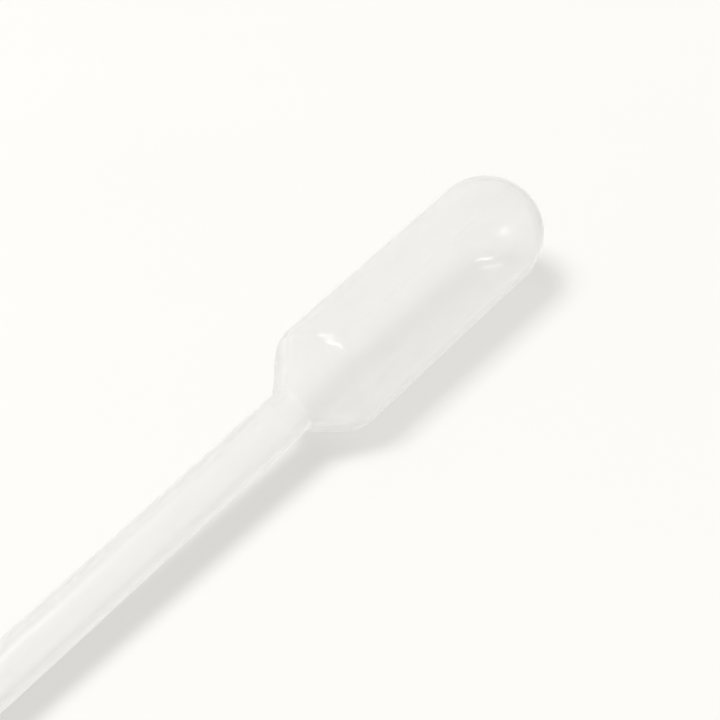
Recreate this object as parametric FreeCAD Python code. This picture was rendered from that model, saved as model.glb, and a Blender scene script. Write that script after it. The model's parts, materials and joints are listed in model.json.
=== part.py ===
import FreeCAD, Part
import math
import os

# A disposable transfer pipette, blow-moulded in one piece from soft, milky polyethylene.
# A round squeeze bulb with a domed end narrows through a conical shoulder into a long tube,
# which steps down near its far end to a slim delivery tip, open at the mouth.
# It is one closed wall all the way from the mouth to the dome, so it is one solid.
#
# The profile is drawn as (x, r): x runs along the pipette's own axis from the mouth of the tip
# to the end of the dome, and r is the radius there.  All sizes are in millimetres.
#
# It is drawn in the mould's frame, with the parting plane upright, and then laid down.  Frame of the
# finished part: it lies on a flat surface, +X towards the dome, +Z up, with its origin under the
# middle of its box.  The fat bulb lifts its end, so the axis leans by a few degrees.

# ---- driving dimensions ----
OVERALL_LENGTH = 155.0      # mouth of the tip to the end of the dome, along the axis

BULB_R = 6.25               # outside radius of the bulb, and of its hemispherical dome
BULB_LENGTH = 39.4          # neck to the end of the dome
BULB_WALL = 0.4
SHOULDER_LENGTH = 5.1       # neck to where the cone would meet the bulb's cylinder in a sharp edge
SHOULDER_ROUND = 3.35       # that edge is rounded by this radius

STEM_R = 2.5
STEM_WALL = 0.6
NECK_ROUND = 0.8            # hollow corner between stem and shoulder

TIP_R = 1.5
TIP_BORE_R = 0.9
TIP_LENGTH = 26.0
TAPER_LENGTH = 10.0         # cone from the tip's size up to the stem's
TAPER_ROUND = 12.0          # both ends of that cone are eased by this radius

SEAM_HEIGHT = 0.1           # parting line of the two mould halves, standing proud of the bulb
SEAM_WIDTH = 0.3
ROLL_DEG = 19.0             # as it lies, the parting plane has rolled this far over from upright
FLAT_DEPTH = 0.06           # the soft wall has gone flat by this much where it bears on the surface

# ---- places along the axis ----
NECK_X = OVERALL_LENGTH - BULB_LENGTH
SHOULDER_X = NECK_X + SHOULDER_LENGTH
DOME_X = OVERALL_LENGTH - BULB_R            # centre of the dome
TAPER_X = TIP_LENGTH
STEM_X = TIP_LENGTH + TAPER_LENGTH

CONE_ANGLE = math.atan2(BULB_R - STEM_R, SHOULDER_LENGTH)


def shoulder_end_x():
    """Where the rounded shoulder runs out into the bulb's cylinder."""
    return SHOULDER_X + SHOULDER_ROUND * math.tan(CONE_ANGLE / 2)


def resting_tilt():
    """Angle that the axis leans by when the tip's lower edge and the shoulder touch the surface."""
    across = shoulder_end_x()
    drop = BULB_R - SHOULDER_ROUND - TIP_R
    return math.atan2(drop, across) + math.asin(SHOULDER_ROUND / math.hypot(across, drop))


TILT = resting_tilt()


def point(x, r):
    return FreeCAD.Vector(x, 0, r)


def rounded_path(corners):
    """Edges along (x, r, radius) corners, each corner eased by a tangent arc of its radius."""
    edges = []
    start = point(*corners[0][:2])
    for before, corner, after in zip(corners, corners[1:], corners[2:]):
        middle = point(*corner[:2])
        to_before = (point(*before[:2]) - middle).normalize()
        to_after = (point(*after[:2]) - middle).normalize()
        half_angle = to_before.getAngle(to_after) / 2
        radius = corner[2]
        leave = middle + to_before * (radius / math.tan(half_angle))
        join = middle + to_after * (radius / math.tan(half_angle))
        edges.append(Part.LineSegment(start, leave).toShape())
        if radius > 0:
            inward = (to_before + to_after).normalize()
            crown = middle + inward * (radius / math.sin(half_angle) - radius)
            edges.append(Part.Arc(leave, crown, join).toShape())
        start = join
    edges.append(Part.LineSegment(start, point(*corners[-1][:2])).toShape())
    return edges


def dome_arc(radius):
    """Quarter circle from the bulb's cylinder to the end of the dome."""
    half = radius * math.sqrt(0.5)
    middle = point(DOME_X + half, half)
    return Part.Arc(point(DOME_X, radius), middle, point(DOME_X + radius, 0)).toShape()


def turned(corners, dome_radius):
    """Solid of revolution under a profile that starts at corners[0] and ends in a dome."""
    edges = rounded_path(corners) + [dome_arc(dome_radius)]
    start_x = corners[0][0]
    edges.append(Part.LineSegment(point(DOME_X + dome_radius, 0), point(start_x, 0)).toShape())
    edges.append(Part.LineSegment(point(start_x, 0), point(*corners[0][:2])).toShape())
    face = Part.Face(Part.Wire(edges))
    return face.revolve(FreeCAD.Vector(0, 0, 0), FreeCAD.Vector(1, 0, 0), 360)


def outside():
    return turned(
        [
            (0, TIP_R, 0),
            (TAPER_X, TIP_R, TAPER_ROUND),
            (STEM_X, STEM_R, TAPER_ROUND),
            (NECK_X, STEM_R, NECK_ROUND),
            (SHOULDER_X, BULB_R, SHOULDER_ROUND),
            (DOME_X, BULB_R, 0),
        ],
        BULB_R,
    )


def inside():
    """The hollow: the same profile, in by the wall, and open at the tip's mouth."""
    bore_r = STEM_R - STEM_WALL
    bulb_r = BULB_R - BULB_WALL
    corner_shift = BULB_WALL * math.tan(CONE_ANGLE / 2)     # keeps the shoulder's wall even
    shoulder_x = SHOULDER_X + corner_shift
    neck_x = shoulder_x - (bulb_r - bore_r) / math.tan(CONE_ANGLE)
    return turned(
        [
            (0, TIP_BORE_R, 0),
            (TAPER_X, TIP_BORE_R, TAPER_ROUND + STEM_WALL),
            (STEM_X, bore_r, TAPER_ROUND - STEM_WALL),
            (neck_x, bore_r, NECK_ROUND + BULB_WALL),
            (shoulder_x, bulb_r, SHOULDER_ROUND - BULB_WALL),
            (DOME_X, bulb_r, 0),
        ],
        bulb_r,
    )


def parting_line():
    """A thin plate in the mould's parting plane, a little bigger than the bulb.

    Fused to the bulb, only its edge shows: a fine ridge up one side, over the dome and down the
    other.  It starts level with the stem at the neck and reaches its full height on the shoulder.
    """
    crest_r = BULB_R + SEAM_HEIGHT
    corners = [
        (NECK_X, STEM_R, 0),
        (SHOULDER_X, crest_r, SHOULDER_ROUND),
        (DOME_X, crest_r, 0),
    ]
    edges = rounded_path(corners) + [dome_arc(crest_r)]
    edges.append(Part.LineSegment(point(DOME_X + crest_r, 0), point(NECK_X, 0)).toShape())
    edges.append(Part.LineSegment(point(NECK_X, 0), point(NECK_X, STEM_R)).toShape())
    upper = Part.Face(Part.Wire(edges))
    upper.translate(FreeCAD.Vector(0, -SEAM_WIDTH / 2, 0))
    upper = upper.extrude(FreeCAD.Vector(0, SEAM_WIDTH, 0))
    lower = upper.rotated(FreeCAD.Vector(0, 0, 0), FreeCAD.Vector(1, 0, 0), 180)
    return upper.fuse(lower)


def at_rest():
    """Placement that lays the pipette down: rolled about its axis, on its tip and its shoulder."""
    lowest_x = -TIP_R * math.sin(TILT)
    highest_x = DOME_X * math.cos(TILT) + BULB_R + SEAM_HEIGHT
    axis_z = TIP_R * math.cos(TILT) - FLAT_DEPTH
    shift = FreeCAD.Vector(-(lowest_x + highest_x) / 2, 0, axis_z)
    roll = FreeCAD.Rotation(FreeCAD.Vector(1, 0, 0), ROLL_DEG)
    lean = FreeCAD.Rotation(FreeCAD.Vector(0, 1, 0), -math.degrees(TILT))
    return FreeCAD.Placement(shift, lean * roll)


def below_surface():
    """Everything under z = 0: cutting it off leaves two small flats, at the shoulder and the tip."""
    deep = 2 * BULB_R
    corner = FreeCAD.Vector(-OVERALL_LENGTH, -deep, -deep)
    return Part.makeBox(2 * OVERALL_LENGTH, 2 * deep, deep, corner)


def pipette():
    solid = outside().fuse(parting_line()).cut(inside()).removeSplitter()
    solid.transformShape(at_rest().toMatrix())
    return solid.cut(below_surface()).Solids[0]


def main():
    os.makedirs("parts", exist_ok=True)
    solid = pipette()
    solid.exportStep("parts/pipette.step")
    box = solid.optimalBoundingBox(False, False)
    print("solid valid:", solid.isValid(), " volume mm3:", round(solid.Volume, 2))
    print("box x %.3f %.3f  y %.3f %.3f  z %.3f %.3f"
          % (box.XMin, box.XMax, box.YMin, box.YMax, box.ZMin, box.ZMax))
    print("leans by", round(math.degrees(TILT), 3), "degrees")
    for name, x in (("mouth", 0), ("tip end", TIP_LENGTH), ("stem start", STEM_X),
                    ("neck", NECK_X), ("dome centre", DOME_X)):
        place = at_rest().multVec(FreeCAD.Vector(x, 0, 0))
        print("%-12s on the axis at %.3f %.3f %.3f" % (name, *place))


main()
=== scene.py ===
# %% [markdown]
# # A disposable dropper pipette
#
# The real thing is one piece of soft, milky polyethylene.  A hot tube of plastic is closed in a
# split mould and blown out against its walls, so the squeeze bulb, its cone-shaped shoulder, the
# long tube and the slim tip are one thin wall around one hollow.  There is nothing to assemble.
# What makes it look real is therefore not parts but the wall: two skins that both reflect, a
# cloudy body between them, a rim where the wall is seen edge on, and the fine line that the two
# halves of the mould leave down its sides.
#
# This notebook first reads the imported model, which fixes every size and place, then draws the
# wall as a mesh, gives it its plastic, and lights it as it would lie on a white bench.

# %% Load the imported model
import json
import math

import bmesh
import bpy
from mathutils import Matrix, Vector


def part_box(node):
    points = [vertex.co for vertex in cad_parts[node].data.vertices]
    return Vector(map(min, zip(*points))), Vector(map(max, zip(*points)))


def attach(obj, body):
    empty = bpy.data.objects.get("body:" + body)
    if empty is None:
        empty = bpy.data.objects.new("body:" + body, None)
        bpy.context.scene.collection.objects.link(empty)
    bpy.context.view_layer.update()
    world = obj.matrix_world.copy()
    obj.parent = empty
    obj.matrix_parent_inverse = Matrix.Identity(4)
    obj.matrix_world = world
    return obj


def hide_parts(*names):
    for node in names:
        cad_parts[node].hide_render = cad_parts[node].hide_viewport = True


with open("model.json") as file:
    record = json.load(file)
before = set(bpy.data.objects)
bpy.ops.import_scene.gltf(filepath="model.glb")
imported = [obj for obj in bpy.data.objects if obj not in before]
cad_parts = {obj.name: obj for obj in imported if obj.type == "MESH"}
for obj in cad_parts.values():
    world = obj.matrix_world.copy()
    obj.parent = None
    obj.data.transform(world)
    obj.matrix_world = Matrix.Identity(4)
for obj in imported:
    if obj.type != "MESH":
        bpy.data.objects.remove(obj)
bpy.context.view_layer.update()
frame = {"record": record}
MM = 0.001

mounts = {mount["name"]: mount for mount in frame["record"]["mounts"]}
low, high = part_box("pipette")
print("packed model", [round((b - a) / MM, 2) for a, b in zip(low, high)], "mm")

# %% [markdown]
# ## Where the pipette lies
#
# The bulb is fatter than the tip, so a pipette that lies on a bench leans: it touches at the edge
# of its shoulder and at the mouth of its tip.  Everything below is drawn along the pipette's own
# axis, as a distance x from the mouth and a radius r, and one matrix then lays it down.  The
# places come from the model's mounts, so a new pack moves the drawing with it.

# %% The pipette's own axis, from the mounts
towards_dome = -Vector(mounts["stem"]["axis"]).normalized()


def mount_span(name):
    """Centre, length and radius of a round mount, in metres."""
    mount = mounts[name]
    return Vector(mount["pos_m"]), mount["dims"]["length_mm"] * MM, mount["dims"]["r_mm"] * MM


tip_centre, tip_straight, tip_r = mount_span("tip_outside")
stem_centre, stem_straight, stem_r = mount_span("stem")
bore_r = mount_span("tip_bore")[2]
bulb_r = max(high[1], -low[1])
mouth = tip_centre - towards_dome * (tip_straight / 2)
stem_end = (stem_centre - mouth).dot(towards_dome) + stem_straight / 2
stem_start = stem_end - stem_straight
print("leans by", round(math.degrees(math.asin(towards_dome.z)), 2), "degrees; plain tube from",
      round(stem_start / MM, 1), "to", round(stem_end / MM, 1), "mm")

# %% The wall's own dimensions, as in the model
SHOULDER_LENGTH = 5.1 * MM      # neck to where the cone would meet the bulb in a sharp edge
SHOULDER_ROUND = 3.35 * MM
NECK_ROUND = 0.8 * MM
TAPER_LENGTH = 10.0 * MM
TAPER_ROUND = 12.0 * MM
MOUTH_ROUND = 0.07 * MM         # the tip is cut off clean, and only its edges are eased
BULB_WALL = 0.4 * MM
STEM_WALL = 0.6 * MM
SEAM_ROOM = 0.1 * MM            # what the model adds at the dome's end for the parting line
ROLL = math.radians(19.0)       # the mould's parting plane, as the pipette lies

cone_angle = math.atan2(bulb_r - stem_r, SHOULDER_LENGTH)
taper_angle = math.atan2(stem_r - tip_r, TAPER_LENGTH)
taper_x = tip_straight + TAPER_ROUND * math.tan(taper_angle / 2)
neck_x = stem_end + NECK_ROUND * math.tan(cone_angle / 2)
shoulder_x = neck_x + SHOULDER_LENGTH
dome_x = (high[0] - bulb_r - SEAM_ROOM - mouth.x) / towards_dome.x
print("neck at", round(neck_x / MM, 1), "mm, dome's centre at", round(dome_x / MM, 1), "mm")

# %% [markdown]
# ## The profile
#
# A turned shape needs only half its section.  It could be drawn by hand as a list of points, but
# then the roundings would not be true arcs.  Instead each skin is a short list of corners, and
# every corner is eased by an arc that is tangent to both its sides.  Points are placed close
# together on the arcs, where the outline bends, and far apart on the straight runs.

# %% Corners to a smooth profile
ARC_STEP = math.radians(4)      # one point for each of these along an arc
RUN_STEP = 1.6 * MM             # and one for each of these along a straight run
DOME_STEPS = 34                 # points from the bulb's cylinder to the pole


def run(start, end):
    """Evenly spaced points from start up to, but not at, end."""
    count = max(1, round((end - start).length / RUN_STEP))
    return [start.lerp(end, i / count) for i in range(count)]


def eased(corners):
    """Points along (x, r, radius) corners, each corner but the first and last rounded."""
    points = []
    here = Vector(corners[0][:2])
    for before, corner, after in zip(corners, corners[1:], corners[2:]):
        middle = Vector(corner[:2])
        back = (Vector(before[:2]) - middle).normalized()
        on = (Vector(after[:2]) - middle).normalized()
        turn = math.pi - back.angle(on)
        leave = middle + back * corner[2] * math.tan(turn / 2)
        centre = middle + (back + on).normalized() * corner[2] / math.cos(turn / 2)
        points += run(here, leave)
        side = math.copysign(1, back.cross(on))
        spoke = leave - centre
        steps = max(2, round(turn / ARC_STEP))
        for i in range(steps):
            points.append(centre + Matrix.Rotation(-side * turn * i / steps, 2) @ spoke)
        here = centre + Matrix.Rotation(-side * turn, 2) @ spoke
    return points + run(here, Vector(corners[-1][:2]))


def dome(radius):
    """Quarter circle from the end of the bulb's cylinder to the pole."""
    quarter = [math.pi / 2 * i / DOME_STEPS for i in range(DOME_STEPS + 1)]
    return [Vector((dome_x + radius * math.sin(a), radius * math.cos(a))) for a in quarter]


# %% The outside skin
mouth_r = (tip_r + bore_r) / 2      # both skins start here, halfway across the tip's cut face
outside = eased([
    (0, mouth_r, 0),
    (0, tip_r, MOUTH_ROUND),
    (taper_x, tip_r, TAPER_ROUND),
    (taper_x + TAPER_LENGTH, stem_r, TAPER_ROUND),
    (neck_x, stem_r, NECK_ROUND),
    (shoulder_x, bulb_r, SHOULDER_ROUND),
    (dome_x, bulb_r, 0),
]) + dome(bulb_r)
print(len(outside), "points on the outside")

# %% The skin of the bore
stem_bore_r = stem_r - STEM_WALL
bulb_bore_r = bulb_r - BULB_WALL
inner_shoulder_x = shoulder_x + BULB_WALL * math.tan(cone_angle / 2)
inner_neck_x = inner_shoulder_x - (bulb_bore_r - stem_bore_r) / math.tan(cone_angle)
inside = eased([
    (0, mouth_r, 0),
    (0, bore_r, MOUTH_ROUND),
    (taper_x, bore_r, TAPER_ROUND + STEM_WALL),
    (taper_x + TAPER_LENGTH, stem_bore_r, TAPER_ROUND - STEM_WALL),
    (inner_neck_x, stem_bore_r, NECK_ROUND + BULB_WALL),
    (inner_shoulder_x, bulb_bore_r, SHOULDER_ROUND - BULB_WALL),
    (dome_x, bulb_bore_r, 0),
])[1:] + dome(bulb_bore_r)          # without its first point, which is the outside's first too
print(len(inside), "points on the inside")

# %% [markdown]
# ## The wall as a mesh
#
# A Screw or Lathe modifier would turn the profile, but it spaces its steps evenly, and the parting
# line is less than half a millimetre wide: even steps fine enough for it would need a million
# faces.  Here the rings are built one by one, with extra columns bunched around the two seams.
# The parting line is a soft ridge on both sides, where the mould's two halves met.  It starts past
# the shoulder, runs up the bulb and fades just before the dome.

# %% Columns round the axis, bunched at the seams
COLUMN_STEP = math.radians(2.0)
SEAM_COLUMNS = (0.0, 0.35, 0.7, 1.05, 1.45, 1.95)      # degrees either side of a seam


def columns():
    """Angles round the axis, 0 at one seam and half a turn at the other."""
    near = sorted({side * math.radians(degrees) for degrees in SEAM_COLUMNS for side in (-1, 1)})
    gap_start, gap_end = near[-1], math.pi + near[0]
    count = round((gap_end - gap_start) / COLUMN_STEP)
    gap = [gap_start + (gap_end - gap_start) * i / count for i in range(1, count)]
    half = near + gap
    return half + [angle + math.pi for angle in half]


round_angles = columns()
print(len(round_angles), "columns")

# %% The parting line
SEAM_RISE = 0.032 * MM          # its crest, once the mould's two halves have worn in
SEAM_FOOT = 0.225 * MM          # from its crest to where it meets the plain wall
SEAM_BUILDS = bulb_r / 2        # over this length past the shoulder it rises to its full height
SEAM_STOPS = 1.5 * MM           # this far before the dome's centre it has gone
SEAM_FADE = 2.0 * MM


def smooth(t):
    """0 below 0, 1 above 1, and an easy curve between."""
    t = min(max(t, 0.0), 1.0)
    return t * t * (3 - 2 * t)


def seam_rise(x, r, angle):
    """How far the parting line lifts the outside skin at a place on it."""
    off_plane = abs(r * math.sin(angle))
    across = smooth(1 - off_plane / SEAM_FOOT)
    builds = smooth((x - shoulder_x) / SEAM_BUILDS)
    fades = smooth((dome_x - SEAM_STOPS - x) / SEAM_FADE)
    return SEAM_RISE * across * builds * fades


print("parting line", SEAM_RISE / MM, "mm high, from", round(shoulder_x / MM, 1), "to",
      round((dome_x - SEAM_STOPS) / MM, 1), "mm")

# %% The uneven skin of the bore
RING_HEIGHT, RING_PITCH, RING_REACH = 0.012 * MM, 1.3 * MM, 4 * MM
WAVES = (                       # height, length per radian, how many round the axis, and their start
    (0.020 * MM, 7 * MM, 2, 0),
    (0.015 * MM, 11 * MM, 3, math.pi / 2),
)


def bore_ripple(x, r, angle):
    """Long waves of the skin that no mould touched, and faint rings by the shoulder, at any r."""
    at_shoulder = math.exp(-((x - shoulder_x) / RING_REACH) ** 2)
    rings = RING_HEIGHT * math.sin(2 * math.pi * x / RING_PITCH) * at_shoulder
    return rings + sum(height * math.sin(x / length + count * angle + start)
                       for height, length, count, start in WAVES)


print("bore uneven by up to", round((RING_HEIGHT + sum(wave[0] for wave in WAVES)) / MM, 3), "mm")

# %% Profile to rows of points


def skin(profile, offset):
    """Rows of points for one skin, and its pole; offset says how far a place is moved outwards."""
    rows = []
    for i, point in enumerate(profile[:-1]):
        along_profile = profile[i + 1] - profile[max(i - 1, 0)]
        normal = Vector((-along_profile.y, along_profile.x)).normalized()
        row = []
        for angle in round_angles:
            x, r = point + normal * offset(point.x, point.y, angle)
            row.append(Vector((x, -r * math.sin(angle), r * math.cos(angle))))
        rows.append(row)
    return rows, Vector((profile[-1].x + offset(profile[-1].x, 0, 0), 0, 0))


outer_rows, outer_pole = skin(outside, seam_rise)
inner_rows, inner_pole = skin(inside, bore_ripple)
print(len(outer_rows) + len(inner_rows), "rings")

# %% [markdown]
# A soft wall can't rest on a line.  Where the pipette bears on the bench, at its shoulder and its
# mouth, the outside skin is pressed flat, by a few hundredths of a millimetre.

# %% Laid down, and pressed flat where it bears


def lie_down():
    """The matrix from the drawing (x along, y and z across) to where the pipette lies."""
    across = Vector((0, 1, 0))
    upright = towards_dome.cross(across)
    turn = Matrix((towards_dome, across, upright)).transposed()
    return Matrix.Translation(mouth) @ turn.to_4x4() @ Matrix.Rotation(ROLL, 4, "X")


def press_flat(rows):
    """Lifts the points that would sink into the bench on to it, and says how deep they were."""
    deepest = 0.0
    for row in rows:
        for i, point in enumerate(row):
            place = to_bench @ point
            if place.z < 0:
                deepest = max(deepest, -place.z)
                place.z = 0
                row[i] = to_drawing @ place
    return deepest


to_bench = lie_down()
to_drawing = to_bench.inverted()
print("pressed flat by up to", round(press_flat(outer_rows) / MM, 3), "mm")

# %% [markdown]
# ### What each point knows
#
# The plastic can't tell by itself where the wall is thick or which skin it is on.  Vertex colours
# could say so, but plain numbers are clearer.  Four facts are stored on every point:
#
# - outer_skin is 1 on the outside and 0 on the bore
# - thick is 1 on the stem and 0 on the bulb, and rises again to a half at the dome
# - at_neck is 1 on the cone and fades away past both its ends
# - near_bench is 1 on the strip under the bulb that all but touches the bench
#
# With them goes its place in the drawing, so that the clouds in the plastic follow the pipette as
# it lies.

# %% Facts for the plastic
DOME_THICK = 0.5                # the dome, where the hot tube was pinched shut, beside the stem's 1
DOME_THICKENS = 0.7 * bulb_r    # from the bulb's cylinder towards the pole
NECK_FADE = 4 * MM              # before the neck and past the shoulder
NEAR_WIDTH = 2.0 * MM           # the strip under the bulb, to each side of the line it rests on
NEAR_HEIGHT = 3.0 * MM
NEAR_SOFT = 0.5 * MM            # over this length the strip's edges and its start fade


def facts_of(point, is_outer):
    """What the plastic needs to know of one point in the drawing."""
    place = to_bench @ point
    narrow = smooth((NEAR_WIDTH - abs(place.y)) / NEAR_SOFT)
    low_down = smooth((NEAR_HEIGHT - place.z) / NEAR_SOFT)
    past_shoulder = smooth((point.x - shoulder_x) / NEAR_SOFT - 1)
    return {
        "outer_skin": float(is_outer),
        "thick": (1 - smooth((point.x - neck_x) / SHOULDER_LENGTH)
                  + DOME_THICK * smooth((point.x - dome_x) / DOME_THICKENS)),
        "at_neck": (smooth((point.x - neck_x) / NECK_FADE + 1)
                    * smooth((shoulder_x - point.x) / NECK_FADE + 1)),
        "near_bench": narrow * low_down * past_shoulder * is_outer,
    }


outer_points = [point for row in outer_rows[::-1] for point in row]
inner_points = [point for row in inner_rows for point in row]
points = outer_points + inner_points + [outer_pole, inner_pole]
facts = ([facts_of(point, True) for point in outer_points]
         + [facts_of(point, False) for point in inner_points]
         + [facts_of(outer_pole, True), facts_of(inner_pole, False)])
print(len(points), "points that know", ", ".join(facts[0]))

# %% Rings to one closed wall


def wall_faces():
    """Faces down the outside, over the mouth's rim and up the bore, and a fan at each pole."""
    count = len(round_angles)
    last = (len(outer_rows) + len(inner_rows) - 1) * count
    faces = []
    for j in range(count):
        k = (j + 1) % count
        faces.append((len(points) - 2, j, k))
        for ring in range(0, last, count):
            faces.append((ring + j, ring + count + j, ring + count + k, ring + k))
        faces.append((last + j, len(points) - 1, last + k))
    return faces


wall = bpy.data.meshes.new("pipette_wall")
wall.from_pydata([tuple(point) for point in points], [], wall_faces())
wall.polygons.foreach_set("use_smooth", [True] * len(wall.polygons))
for name in facts[0]:
    values = [known[name] for known in facts]
    wall.attributes.new(name, "FLOAT", "POINT").data.foreach_set("value", values)
drawn_at = wall.attributes.new("drawn_at", "FLOAT_VECTOR", "POINT")
drawn_at.data.foreach_set("vector", [number for point in points for number in point])
wall.transform(to_bench)
print(len(wall.polygons), "faces")

# %% The piece, and which body it belongs to
pipette = bpy.data.objects.new("pipette_wall", wall)
bpy.context.scene.collection.objects.link(pipette)
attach(pipette, "root")
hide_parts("pipette")

check = bmesh.new()
check.from_mesh(wall)
print(round(check.calc_volume(signed=True) / MM ** 3, 1), "mm3 of plastic,",
      sum(not edge.is_manifold for edge in check.edges), "open edges")
check.free()

# %% [markdown]
# ## The plastic
#
# Polyethylene is clear in itself and milky with tiny crystals.  A wall of it does three things at
# once: part of the light goes straight through, part is turned back and part leaves on the other
# side, spread in all directions.  A glass shader with a cloudy volume would be the full answer,
# but it is slow, speckled, and draws the hard bright rims of real glass, which this soft plastic
# doesn't have.  So each skin is a mix: a Principled shader whose Alpha is the milky share, with a
# little Translucent beside it for the light that comes out on the other side.
#
# All of it is made of nodes.  A few short helpers keep that readable: one adds a node, one fills
# its inputs, and three stand for the nodes that are used most.

# %% Short names for adding nodes


def add(tree, kind, **settings):
    """A new node of one kind, with its settings."""
    made = tree.nodes.new("ShaderNode" + kind)
    for name, value in settings.items():
        setattr(made, name, value)
    return made


def feed(tree, socket, value):
    """Gives an input a number or colour of its own, or the output of another node."""
    if isinstance(value, bpy.types.NodeSocket):
        tree.links.new(value, socket)
    else:
        socket.default_value = value


def put(tree, made, **inputs):
    """Feeds a node's inputs by their names."""
    for name, value in inputs.items():
        feed(tree, made.inputs[name.replace("_", " ")], value)
    return made


# %% Short names for sums, easy curves and blends


def sums(tree, operation, *values):
    """The result of a Math node."""
    made = add(tree, "Math", operation=operation)
    for socket, value in zip(made.inputs, values):
        feed(tree, socket, value)
    return made.outputs[0]


def ease(tree, value, start, end, first, last):
    """Takes a value that goes from start to end, and goes smoothly from first to last with it."""
    made = add(tree, "MapRange", interpolation_type="SMOOTHSTEP")
    put(tree, made, Value=value, From_Min=start, From_Max=end, To_Min=first, To_Max=last)
    return made.outputs["Result"]


def blend(tree, share, first, second, data_type="FLOAT"):
    """first where share is 0, second where it is 1; for numbers or colours."""
    made = add(tree, "Mix", data_type=data_type)
    first_at, second_at, result_at = {"FLOAT": (2, 3, 0), "RGBA": (6, 7, 2)}[data_type]
    for index, value in ((0, share), (first_at, first), (second_at, second)):
        feed(tree, made.inputs[index], value)
    return made.outputs[result_at]


# %% Short names for groups


def group(name, takes, gives):
    """A new group with its two ends; takes lists (name, kind, value), gives names its one number."""
    tree = bpy.data.node_groups.new(name, "ShaderNodeTree")
    for socket, kind, value in takes:
        made = tree.interface.new_socket(socket, in_out="INPUT", socket_type="NodeSocket" + kind)
        if value is not None:
            made.default_value = value
    tree.interface.new_socket(gives, in_out="OUTPUT", socket_type="NodeSocketFloat")
    return tree, tree.nodes.new("NodeGroupInput").outputs, tree.nodes.new("NodeGroupOutput").inputs


def use(tree, made_group, **inputs):
    """The result of a group, placed in a material with this material's own values."""
    return put(tree, add(tree, "Group", node_tree=made_group), **inputs).outputs[0]


# %% [markdown]
# ### Clouds and lines in the melt
#
# Blown plastic is never even.  The melt leaves soft clouds, drawn out along the tube as it was
# pulled, and very fine lengthwise lines from the lip of the die.  An image could carry them, but a
# noise that is stretched along the pipette's own axis has no seams and any size.  The bench needs
# soft clouds as well, so the noise is a group with its size and stretch as inputs.

# %% Group: clouds
CLOUD_FROM, CLOUD_TO = 0.28, 0.72       # of the noise, which seldom leaves this range

clouds, takes, gives = group("clouds", [
    ("Place", "Vector", None), ("Size", "Float", 4 * MM), ("Stretch", "Float", 4.0),
    ("Detail", "Float", 3.0)], "Cloud")
sides = add(clouds, "SeparateXYZ")
feed(clouds, sides.inputs[0], takes["Place"])
drawn = put(clouds, add(clouds, "CombineXYZ"), Y=sides.outputs["Y"], Z=sides.outputs["Z"],
            X=sums(clouds, "DIVIDE", sides.outputs["X"], takes["Stretch"]))
noise = put(clouds, add(clouds, "TexNoise"), Vector=drawn.outputs[0], Detail=takes["Detail"],
            Scale=sums(clouds, "DIVIDE", 1.0, takes["Size"]), Roughness=0.55)
feed(clouds, gives["Cloud"], ease(clouds, noise.outputs["Fac"], CLOUD_FROM, CLOUD_TO, 0.0, 1.0))
print("clouds:", [item.name for item in clouds.interface.items_tree])

# %% [markdown]
# ### Scuffs
#
# A pipette is poured into a box with five hundred others.  They rub each other and leave short,
# fine scuffs that run all ways, a few at a time.  Drawing them one by one would take thousands of
# curves; instead, the places where a stretched noise passes exactly through its middle value make
# long thin lines, and a second, coarser noise keeps them to patches.

# %% Group: scuffs
SCUFF_TURNS = ((0.3, 0.2, 0.9), (1.1, 2.0, -0.5))       # the two ways that scuffs run
SCUFF_DRAWN_OUT = (0.12, 1.0, 1.0)      # their noise changes slowly the way they run
PATCH_SCALE = 0.35                      # beside that of the scuffs
PATCH_FROM, PATCH_TO = 0.52, 0.66       # of the coarser noise

scuffs, takes, gives = group("scuffs", [
    ("Place", "Vector", None), ("Size", "Float", 2 * MM), ("Fineness", "Float", 0.02)], "Scuff")
scale = sums(scuffs, "DIVIDE", 1.0, takes["Size"])
marks = []
for turn in SCUFF_TURNS:
    turned = put(scuffs, add(scuffs, "VectorRotate", rotation_type="EULER_XYZ"),
                 Vector=takes["Place"], Rotation=turn)
    drawn = add(scuffs, "VectorMath", operation="MULTIPLY")
    feed(scuffs, drawn.inputs[0], turned.outputs[0])
    feed(scuffs, drawn.inputs[1], SCUFF_DRAWN_OUT)
    noise = put(scuffs, add(scuffs, "TexNoise"), Vector=drawn.outputs[0], Scale=scale, Detail=1.0)
    off_line = sums(scuffs, "ABSOLUTE", sums(scuffs, "SUBTRACT", noise.outputs["Fac"], 0.5))
    off_line = sums(scuffs, "DIVIDE", off_line, takes["Fineness"])
    marks.append(sums(scuffs, "SUBTRACT", 1.0, sums(scuffs, "MINIMUM", 1.0, off_line)))
patch = put(scuffs, add(scuffs, "TexNoise"), Vector=takes["Place"], Detail=2.0,
            Scale=sums(scuffs, "MULTIPLY", scale, PATCH_SCALE))
kept = ease(scuffs, patch.outputs["Fac"], PATCH_FROM, PATCH_TO, 0.0, 1.0)
feed(scuffs, gives["Scuff"], sums(scuffs, "MULTIPLY", sums(scuffs, "MAXIMUM", *marks), kept))
print("scuffs:", [item.name for item in scuffs.interface.items_tree])

# %% The material, and what it reads
plastic = bpy.data.materials.new("milky_polyethylene")
plastic.use_nodes = True
wall.materials.append(plastic)
nodes = plastic.node_tree
skin_shader = nodes.nodes["Principled BSDF"]


def stored(name):
    """One of the facts that the mesh's points know."""
    return add(nodes, "Attribute", attribute_name=name).outputs["Fac"]


place = add(nodes, "Attribute", attribute_name="drawn_at").outputs["Vector"]
outer, thick, at_neck = stored("outer_skin"), stored("thick"), stored("at_neck")
slant = put(nodes, add(nodes, "LayerWeight"), Blend=0.5).outputs["Facing"]
from_inside = add(nodes, "NewGeometry").outputs["Backfacing"]
cloud = use(nodes, clouds, Place=place, Size=3.5 * MM, Stretch=3.0, Detail=4.0)
print("reads", [node.attribute_name for node in nodes.nodes if node.type == "ATTRIBUTE"])

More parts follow.
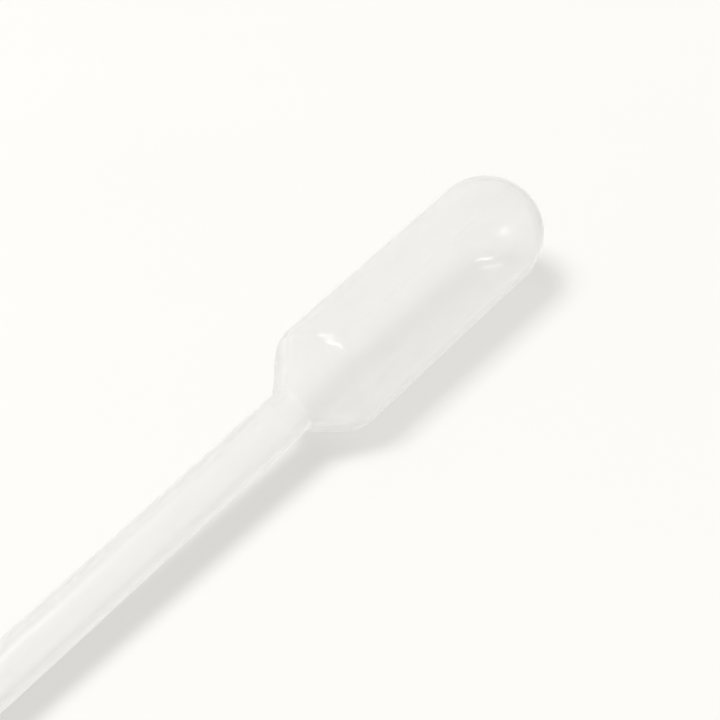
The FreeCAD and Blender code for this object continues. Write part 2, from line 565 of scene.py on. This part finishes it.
# %% [markdown]
# ### The band at the outline
#
# Seen square on, a ray crosses half a millimetre of wall and most of it gets through.  Towards
# the outline it runs along inside the wall and nearly all of it is scattered: that band is as wide
# as the wall is thick, so it is narrow on the bulb and a quarter of the radius on the stem.  Layer
# Weight's Facing tells how slanted the view is, and the band starts where the hollow ends.
#
# The band belongs to the outline, and the slant alone doesn't know that.  Looking along the stem
# into the bulb, one sees the far side of the cone at a slant as well, and a band there would be a
# dark plug in the neck.  So walls near the neck that are seen from the hollow's side get none.

# %% Where the band lies
BAND_STARTS, STEM_BAND_STARTS = 0.55, 0.27      # the slant there, from 0 square on to 1 edge on
BAND_RISE = 0.3                                 # how much more slant until it is full

near_wall = sums(nodes, "ABSOLUTE", sums(nodes, "SUBTRACT", outer, from_inside))
far_wall = sums(nodes, "SUBTRACT", 1.0, near_wall)
no_plug = sums(nodes, "SUBTRACT", 1.0, sums(nodes, "MULTIPLY", at_neck, far_wall))
past_start = sums(nodes, "SUBTRACT", slant, blend(nodes, thick, BAND_STARTS, STEM_BAND_STARTS))
in_band = sums(nodes, "MULTIPLY", no_plug, ease(nodes, past_start, 0.0, BAND_RISE, 0.0, 1.0))
print("band from a slant of", BAND_STARTS, "on the bulb and", STEM_BAND_STARTS, "on the stem")

# %% [markdown]
# ### How milky
#
# Most of the milk is put on the outside skin, and the bore gets only enough for its own edge to
# show as a second, fainter line.  The stem's wall is half as thick again as the bulb's and twice
# as milky.  The dome counts as half as thick as the stem, because the hot tube was pinched shut
# there.  On the cone the bore gets less again, or its line would stand out beside the outline.  A
# little more or less milk follows the clouds.

# %% The milky share of each skin
SQUARE_ON, AT_EDGE = 0.10, 0.60         # on the bulb's outside
STEM_SQUARE_ON, STEM_AT_EDGE = 0.20, 0.80
BORE_SQUARE_ON, BORE_AT_EDGE = 0.02, 0.40
BORE_FROM, BORE_TO = 0.35, 0.95         # the slants between which the bore's milk rises
BORE_AT_NECK = 0.55                     # its milk there, beside the rest of it
CLOUDY = 0.035                          # how much more milk there is in a cloud

outer_milk = blend(nodes, in_band, blend(nodes, thick, SQUARE_ON, STEM_SQUARE_ON),
                   blend(nodes, thick, AT_EDGE, STEM_AT_EDGE))
outer_milk = sums(nodes, "MULTIPLY_ADD", sums(nodes, "SUBTRACT", cloud, 0.5), CLOUDY, outer_milk)
bore_share = sums(nodes, "MULTIPLY", no_plug, ease(nodes, at_neck, 0.0, 1.0, 1.0, BORE_AT_NECK))
bore_milk = sums(nodes, "MULTIPLY", bore_share,
                 ease(nodes, slant, BORE_FROM, BORE_TO, BORE_SQUARE_ON, BORE_AT_EDGE))
put(nodes, skin_shader, Alpha=blend(nodes, outer, bore_milk, outer_milk))
print("alpha from", SQUARE_ON, "to", AT_EDGE, "on the bulb and", STEM_SQUARE_ON, "to", STEM_AT_EDGE,
      "on the stem")

# %% [markdown]
# ### The milk's colour, and painted shade at the outline
#
# Unpigmented polyethylene is nearly white, a touch warmer where it is cloudy.  In the band at the
# outline the colour is a grey, a painted shade: it darkens the outline and stands in for the light
# that runs on inside the wall instead of being turned back.  The bore's edge lies deeper and gets a
# lighter grey, painted shade that draws it as a faint dark line, and the stem's thick wall turns
# more light back than the bulb's thin one, so its greys are lighter.

# %% Colour of each skin, with painted shade in the band and at the bore's edge
MILK = (0.985, 0.978, 0.965, 1)
MILK_IN_CLOUD = (0.975, 0.967, 0.948, 1)
# painted shade: the band's grey darkens the outline in place of light lost inside the wall
BAND_PAINTED_SHADE, STEM_BAND_PAINTED_SHADE = (0.618, 0.614, 0.592, 1), (0.797, 0.793, 0.765, 1)
# painted shade: the bore's grey draws its edge as a faint dark line
BORE_PAINTED_SHADE, STEM_BORE_PAINTED_SHADE = (0.80, 0.79, 0.775, 1), (0.90, 0.89, 0.87, 1)

# the milk is the plastic's own colour; in the band it gives way to the painted shade
outer_colour = blend(nodes, in_band, blend(nodes, cloud, MILK, MILK_IN_CLOUD, "RGBA"),
                     blend(nodes, thick, BAND_PAINTED_SHADE, STEM_BAND_PAINTED_SHADE, "RGBA"), "RGBA")
# the bore's colour is painted shade, seen where its milk rises at the edge
bore_painted_shade_colour = blend(nodes, thick, BORE_PAINTED_SHADE, STEM_BORE_PAINTED_SHADE, "RGBA")
put(nodes, skin_shader, Base_Color=blend(nodes, outer, bore_painted_shade_colour, outer_colour, "RGBA"))
print("milk", MILK[:3], "and in the band", BAND_PAINTED_SHADE[:3])

# %% [markdown]
# ### Gloss
#
# The mould was polished, so lamps show as crisp streaks on the shoulder and inside the dome.  The
# Principled shader's own gloss is thinned by its Alpha, though a real wall mirrors just as much
# where it is clear.  So a Glossy shader goes over everything, on both skins.  Its share is a few
# hundredths square on, twice as much on the bore, whose skin no mould has touched, and it rises
# towards the outline, but far less than on hard glass.  A Fresnel node would take a wall seen from
# behind for the inside of solid plastic and mirror far too much; a power of the slant is the same
# from both sides.
#
# The fine die lines are a bump, far too low to see in the outline, and the clouds and scuffs only
# take a little of the shine.  Together they stay at or under a roughness of 0.27: past that, the
# cleaning of the render's noise takes a surface for a dull one, and the change shows as a ring.

# %% Dullness and die lines
GLOSS, STEM_GLOSS = 0.135, 0.22         # roughness of the clean skin
CLOUD_DULLS, SCUFF_DULLS = 0.02, 0.03   # what clouds and scuffs add to it
DIE_LINE_HEIGHT = 0.001 * MM

on_stem = ease(nodes, thick, DOME_THICK, 1.0, 0.0, 1.0)
scuff = use(nodes, scuffs, Place=place, Size=2.5 * MM, Fineness=0.012)
die_lines = use(nodes, clouds, Place=place, Size=0.6 * MM, Stretch=60.0, Detail=2.0)
polish = sums(nodes, "MULTIPLY_ADD", cloud, CLOUD_DULLS, blend(nodes, on_stem, GLOSS, STEM_GLOSS))
dull = sums(nodes, "MULTIPLY_ADD", scuff, SCUFF_DULLS, polish)
bump = put(nodes, add(nodes, "Bump"), Height=die_lines, Strength=1.0, Distance=DIE_LINE_HEIGHT)
relief = bump.outputs["Normal"]
put(nodes, skin_shader, Roughness=dull, Normal=relief, IOR=1.51)
print("roughness from", GLOSS, "to", round(STEM_GLOSS + CLOUD_DULLS + SCUFF_DULLS, 3))

# %% Mirror share
MIRRORS_SQUARE_ON, MIRRORS_AT_EDGE = 0.024, 0.15
STEM_MIRRORS, BORE_MIRRORS = 0.022, 0.048       # square on
MIRROR_POWER = 5.0                              # how late the share rises towards the outline

mirror = put(nodes, add(nodes, "BsdfAnisotropic"), Color=(1, 1, 1, 1), Roughness=dull, Normal=relief)
rise = sums(nodes, "MULTIPLY", outer, sums(nodes, "POWER", slant, MIRROR_POWER))
square_on = blend(nodes, on_stem, blend(nodes, outer, BORE_MIRRORS, MIRRORS_SQUARE_ON), STEM_MIRRORS)
mirror_share = sums(nodes, "MULTIPLY_ADD", rise, MIRRORS_AT_EDGE - MIRRORS_SQUARE_ON, square_on)
print("mirrors", MIRRORS_SQUARE_ON, "of the light square on and", MIRRORS_AT_EDGE, "at the outline")

# %% [markdown]
# ### Light through the wall
#
# The Translucent share passes light on from behind.  It is largest in the band at the outline,
# where light that entered higher up runs down inside the wall and leaves again: this keeps the
# pipette's lower edge pale beside its own shadow.

# %% Translucent share
THROUGH, THROUGH_AT_EDGE = 0.43, 0.58


def shader_mix(share, first, second):
    """Two shaders mixed: first where share is 0, second where it is 1."""
    made = add(nodes, "MixShader")
    nodes.links.new(share, made.inputs[0])
    nodes.links.new(first.outputs[0], made.inputs[1])
    nodes.links.new(second.outputs[0], made.inputs[2])
    return made


through = put(nodes, add(nodes, "BsdfTranslucent"), Color=MILK)
through_share = sums(nodes, "MULTIPLY", outer, blend(nodes, in_band, THROUGH, THROUGH_AT_EDGE))
looks = shader_mix(mirror_share, shader_mix(through_share, skin_shader, through), mirror)
print("translucent", THROUGH, "of the outside skin, and", THROUGH_AT_EDGE, "in the band")

# %% [markdown]
# ### The shadow
#
# The shadow needs its own answer.  A milky wall sends most of the light that it scatters on to
# the bench, which a path tracer finds only by luck.  So lamps see a stand-in, a plain Transparent
# shader that holds back a fixed share of the light, once at each wall.  It is more at the stem, and
# none where the bulb comes near the bench, because light spread that close to the bench still
# lands there.  Light on its way from one surface to the next passes with hardly any loss.

# %% Stand-ins for shadow and bounced light
LET_BY, STEM_LETS_BY = (0.75, 0.75, 0.75, 1), (0.675, 0.675, 0.675, 1)
BOUNCED_LET_BY = (0.99, 0.99, 0.99, 1)


def see_through(colour):
    """A Transparent shader of one colour."""
    return put(nodes, add(nodes, "BsdfTransparent"), Color=colour)


no_loss = sums(nodes, "MAXIMUM", from_inside, stored("near_bench"))
shade = shader_mix(thick, see_through(LET_BY), see_through(STEM_LETS_BY))
shade = shader_mix(no_loss, shade, see_through((1, 1, 1, 1)))
ray = add(nodes, "LightPath")
seen = shader_mix(ray.outputs["Is Shadow Ray"], looks, shade)
seen = shader_mix(ray.outputs["Is Diffuse Ray"], seen, see_through(BOUNCED_LET_BY))
nodes.links.new(seen.outputs[0], nodes.nodes["Material Output"].inputs["Surface"])
print(len(nodes.nodes), "nodes in the plastic")

# %% [markdown]
# ## Bench, room and camera
#
# The bench is a wide white disc, so that its edge never shows from any side.  It has the faint
# warmth of white cloth or paper and the softest of clouds, so that it isn't one flat colour, and
# no gloss at all.  A plane would do as well; a disc keeps its far edge equally far on all sides.

# %% The bench
BENCH_RADIUS = 3.0
BENCH = (0.955, 0.945, 0.912, 1)
BENCH_IN_CLOUD = (0.949, 0.939, 0.905, 1)
BENCH_ROUGH, BENCH_ROUGH_IN_CLOUD = 0.88, 0.95

bpy.ops.mesh.primitive_circle_add(vertices=128, radius=BENCH_RADIUS, fill_type="TRIFAN")
bench = bpy.context.object
bench.name = "bench"
paper = bpy.data.materials.new("white_bench")
paper.use_nodes = True
sheet = paper.node_tree
spread = add(sheet, "TexCoord").outputs["Object"]
soft = use(sheet, clouds, Place=spread, Size=60 * MM, Stretch=1.0, Detail=2.0)
put(sheet, sheet.nodes["Principled BSDF"], Specular_IOR_Level=0.0,
    Base_Color=blend(sheet, soft, BENCH, BENCH_IN_CLOUD, "RGBA"),
    Roughness=ease(sheet, soft, 0.0, 1.0, BENCH_ROUGH, BENCH_ROUGH_IN_CLOUD))
bench.data.materials.append(paper)
print("bench", 2 * BENCH_RADIUS, "m across")

# %% [markdown]
# The room is a white world that is brighter towards the horizon than overhead, as in a studio with
# pale walls and the lamps above.  It fills the shadow softly and gives the gloss something pale to
# mirror at the outline.

# %% The room
AT_HORIZON, OVERHEAD = 0.95, 0.31
CEILING = 0.9                   # the height, 1 being straight up, from where it is all overhead

room = bpy.data.worlds.new("room")
bpy.context.scene.world = room
room.use_nodes = True
sky = room.node_tree
upward = add(sky, "SeparateXYZ")
feed(sky, upward.inputs[0], add(sky, "TexCoord").outputs["Generated"])
put(sky, sky.nodes["Background"], Color=(1, 1, 1, 1),
    Strength=ease(sky, upward.outputs["Z"], 0.0, CEILING, AT_HORIZON, OVERHEAD))
print("world strength", AT_HORIZON, "at the horizon,", OVERHEAD, "overhead")

# %% [markdown]
# The camera looks down along the pipette from beside its stem, so that the bulb is far and large
# and the stem runs out of view.  It is placed by the direction it looks from, its distance
# and the spot it aims at, and then rolled a little.

# %% The camera
VIEW_AZIMUTH = math.radians(-49.36)
VIEW_ELEVATION = math.radians(40.0)
VIEW_DISTANCE = 243.5 * MM
VIEW_ROLL = math.radians(4.0)
VIEW_LENS = 115
aim = Vector((53.45, 3.80, 0.0)) * MM


def direction(azimuth, elevation):
    """Unit vector towards a viewer at this azimuth, 0 in front, and elevation."""
    return Vector((math.sin(azimuth) * math.cos(elevation),
                   -math.cos(azimuth) * math.cos(elevation), math.sin(elevation)))


lens = bpy.data.cameras.new("camera")
lens.lens = VIEW_LENS
lens.sensor_width = 36
lens.clip_start = 10 * MM
camera = bpy.data.objects.new("camera", lens)
bpy.context.scene.collection.objects.link(camera)
back = direction(VIEW_AZIMUTH, VIEW_ELEVATION)
eye = aim + back * VIEW_DISTANCE
look = back.to_track_quat("Z", "Y").to_matrix().to_4x4()
camera.matrix_world = Matrix.Translation(eye) @ look @ Matrix.Rotation(-VIEW_ROLL, 4, "Z")
bpy.context.scene.camera = camera
print("camera at", [round(v / MM, 1) for v in eye], "mm")

# %% [markdown]
# ## Lamps
#
# One large soft box lights the pipette.  It leans a little away from the viewer and towards the
# stem, so that the shadow comes forward and the body stays even, and its size sets how soft the
# shadow's edge is.  The lamps that the gloss shows are separate: two long tubes side by side, which
# draw the double streaks on the shoulder and inside the dome, and a far window for the round spot.
# Those are seen in the gloss alone, and the soft box is left out of it, so that the light and the
# highlights can be set one without the other.

# %% Soft box, tubes and window
LAMP_DISTANCE = 2.5
SOFT_BOX, TUBE, WINDOW = 13.2, 25, 7.0      # how bright each lamp's face is, where 1 is white


def lamp(name, lean, along, length, width, brightness):
    """A flat lamp: lean is its place to the side per metre of height, along the way that its length
    runs, and its length and width are per metre of distance."""
    towards = Vector((lean[0], lean[1], 1)).normalized()
    data = bpy.data.lights.new(name, "AREA")
    data.shape = "RECTANGLE"
    data.size, data.size_y = width * LAMP_DISTANCE, length * LAMP_DISTANCE
    data.energy = brightness * math.pi * data.size * data.size_y
    shines = bpy.data.objects.new(name, data)
    bpy.context.scene.collection.objects.link(shines)
    y = Vector((along[0], along[1], 0))
    y = (y - towards * y.dot(towards)).normalized()
    turn = Matrix((y.cross(towards), y, towards)).transposed().to_4x4()
    shines.matrix_world = Matrix.Translation(aim + towards * LAMP_DISTANCE) @ turn
    print(name, round(data.energy, 1), "W")
    return shines


soft_box = lamp("soft_box", (-0.23, 0.235), (0, 1), 0.36, 0.42, SOFT_BOX)
soft_box.visible_glossy = soft_box.visible_transmission = False
for in_gloss in (
    lamp("tube_a", (0.24, 0.37), (-0.36, 0.5), 0.48, 0.04, TUBE),
    lamp("tube_b", (0.06, 0.00), (-0.38, 0.45), 0.54, 0.045, TUBE),
    lamp("far_window", (-2.27, 0.3), (0, 1), 0.22, 0.30, WINDOW),
):
    in_gloss.visible_diffuse = False

bpy.context.scene.view_settings.view_transform = "Standard"
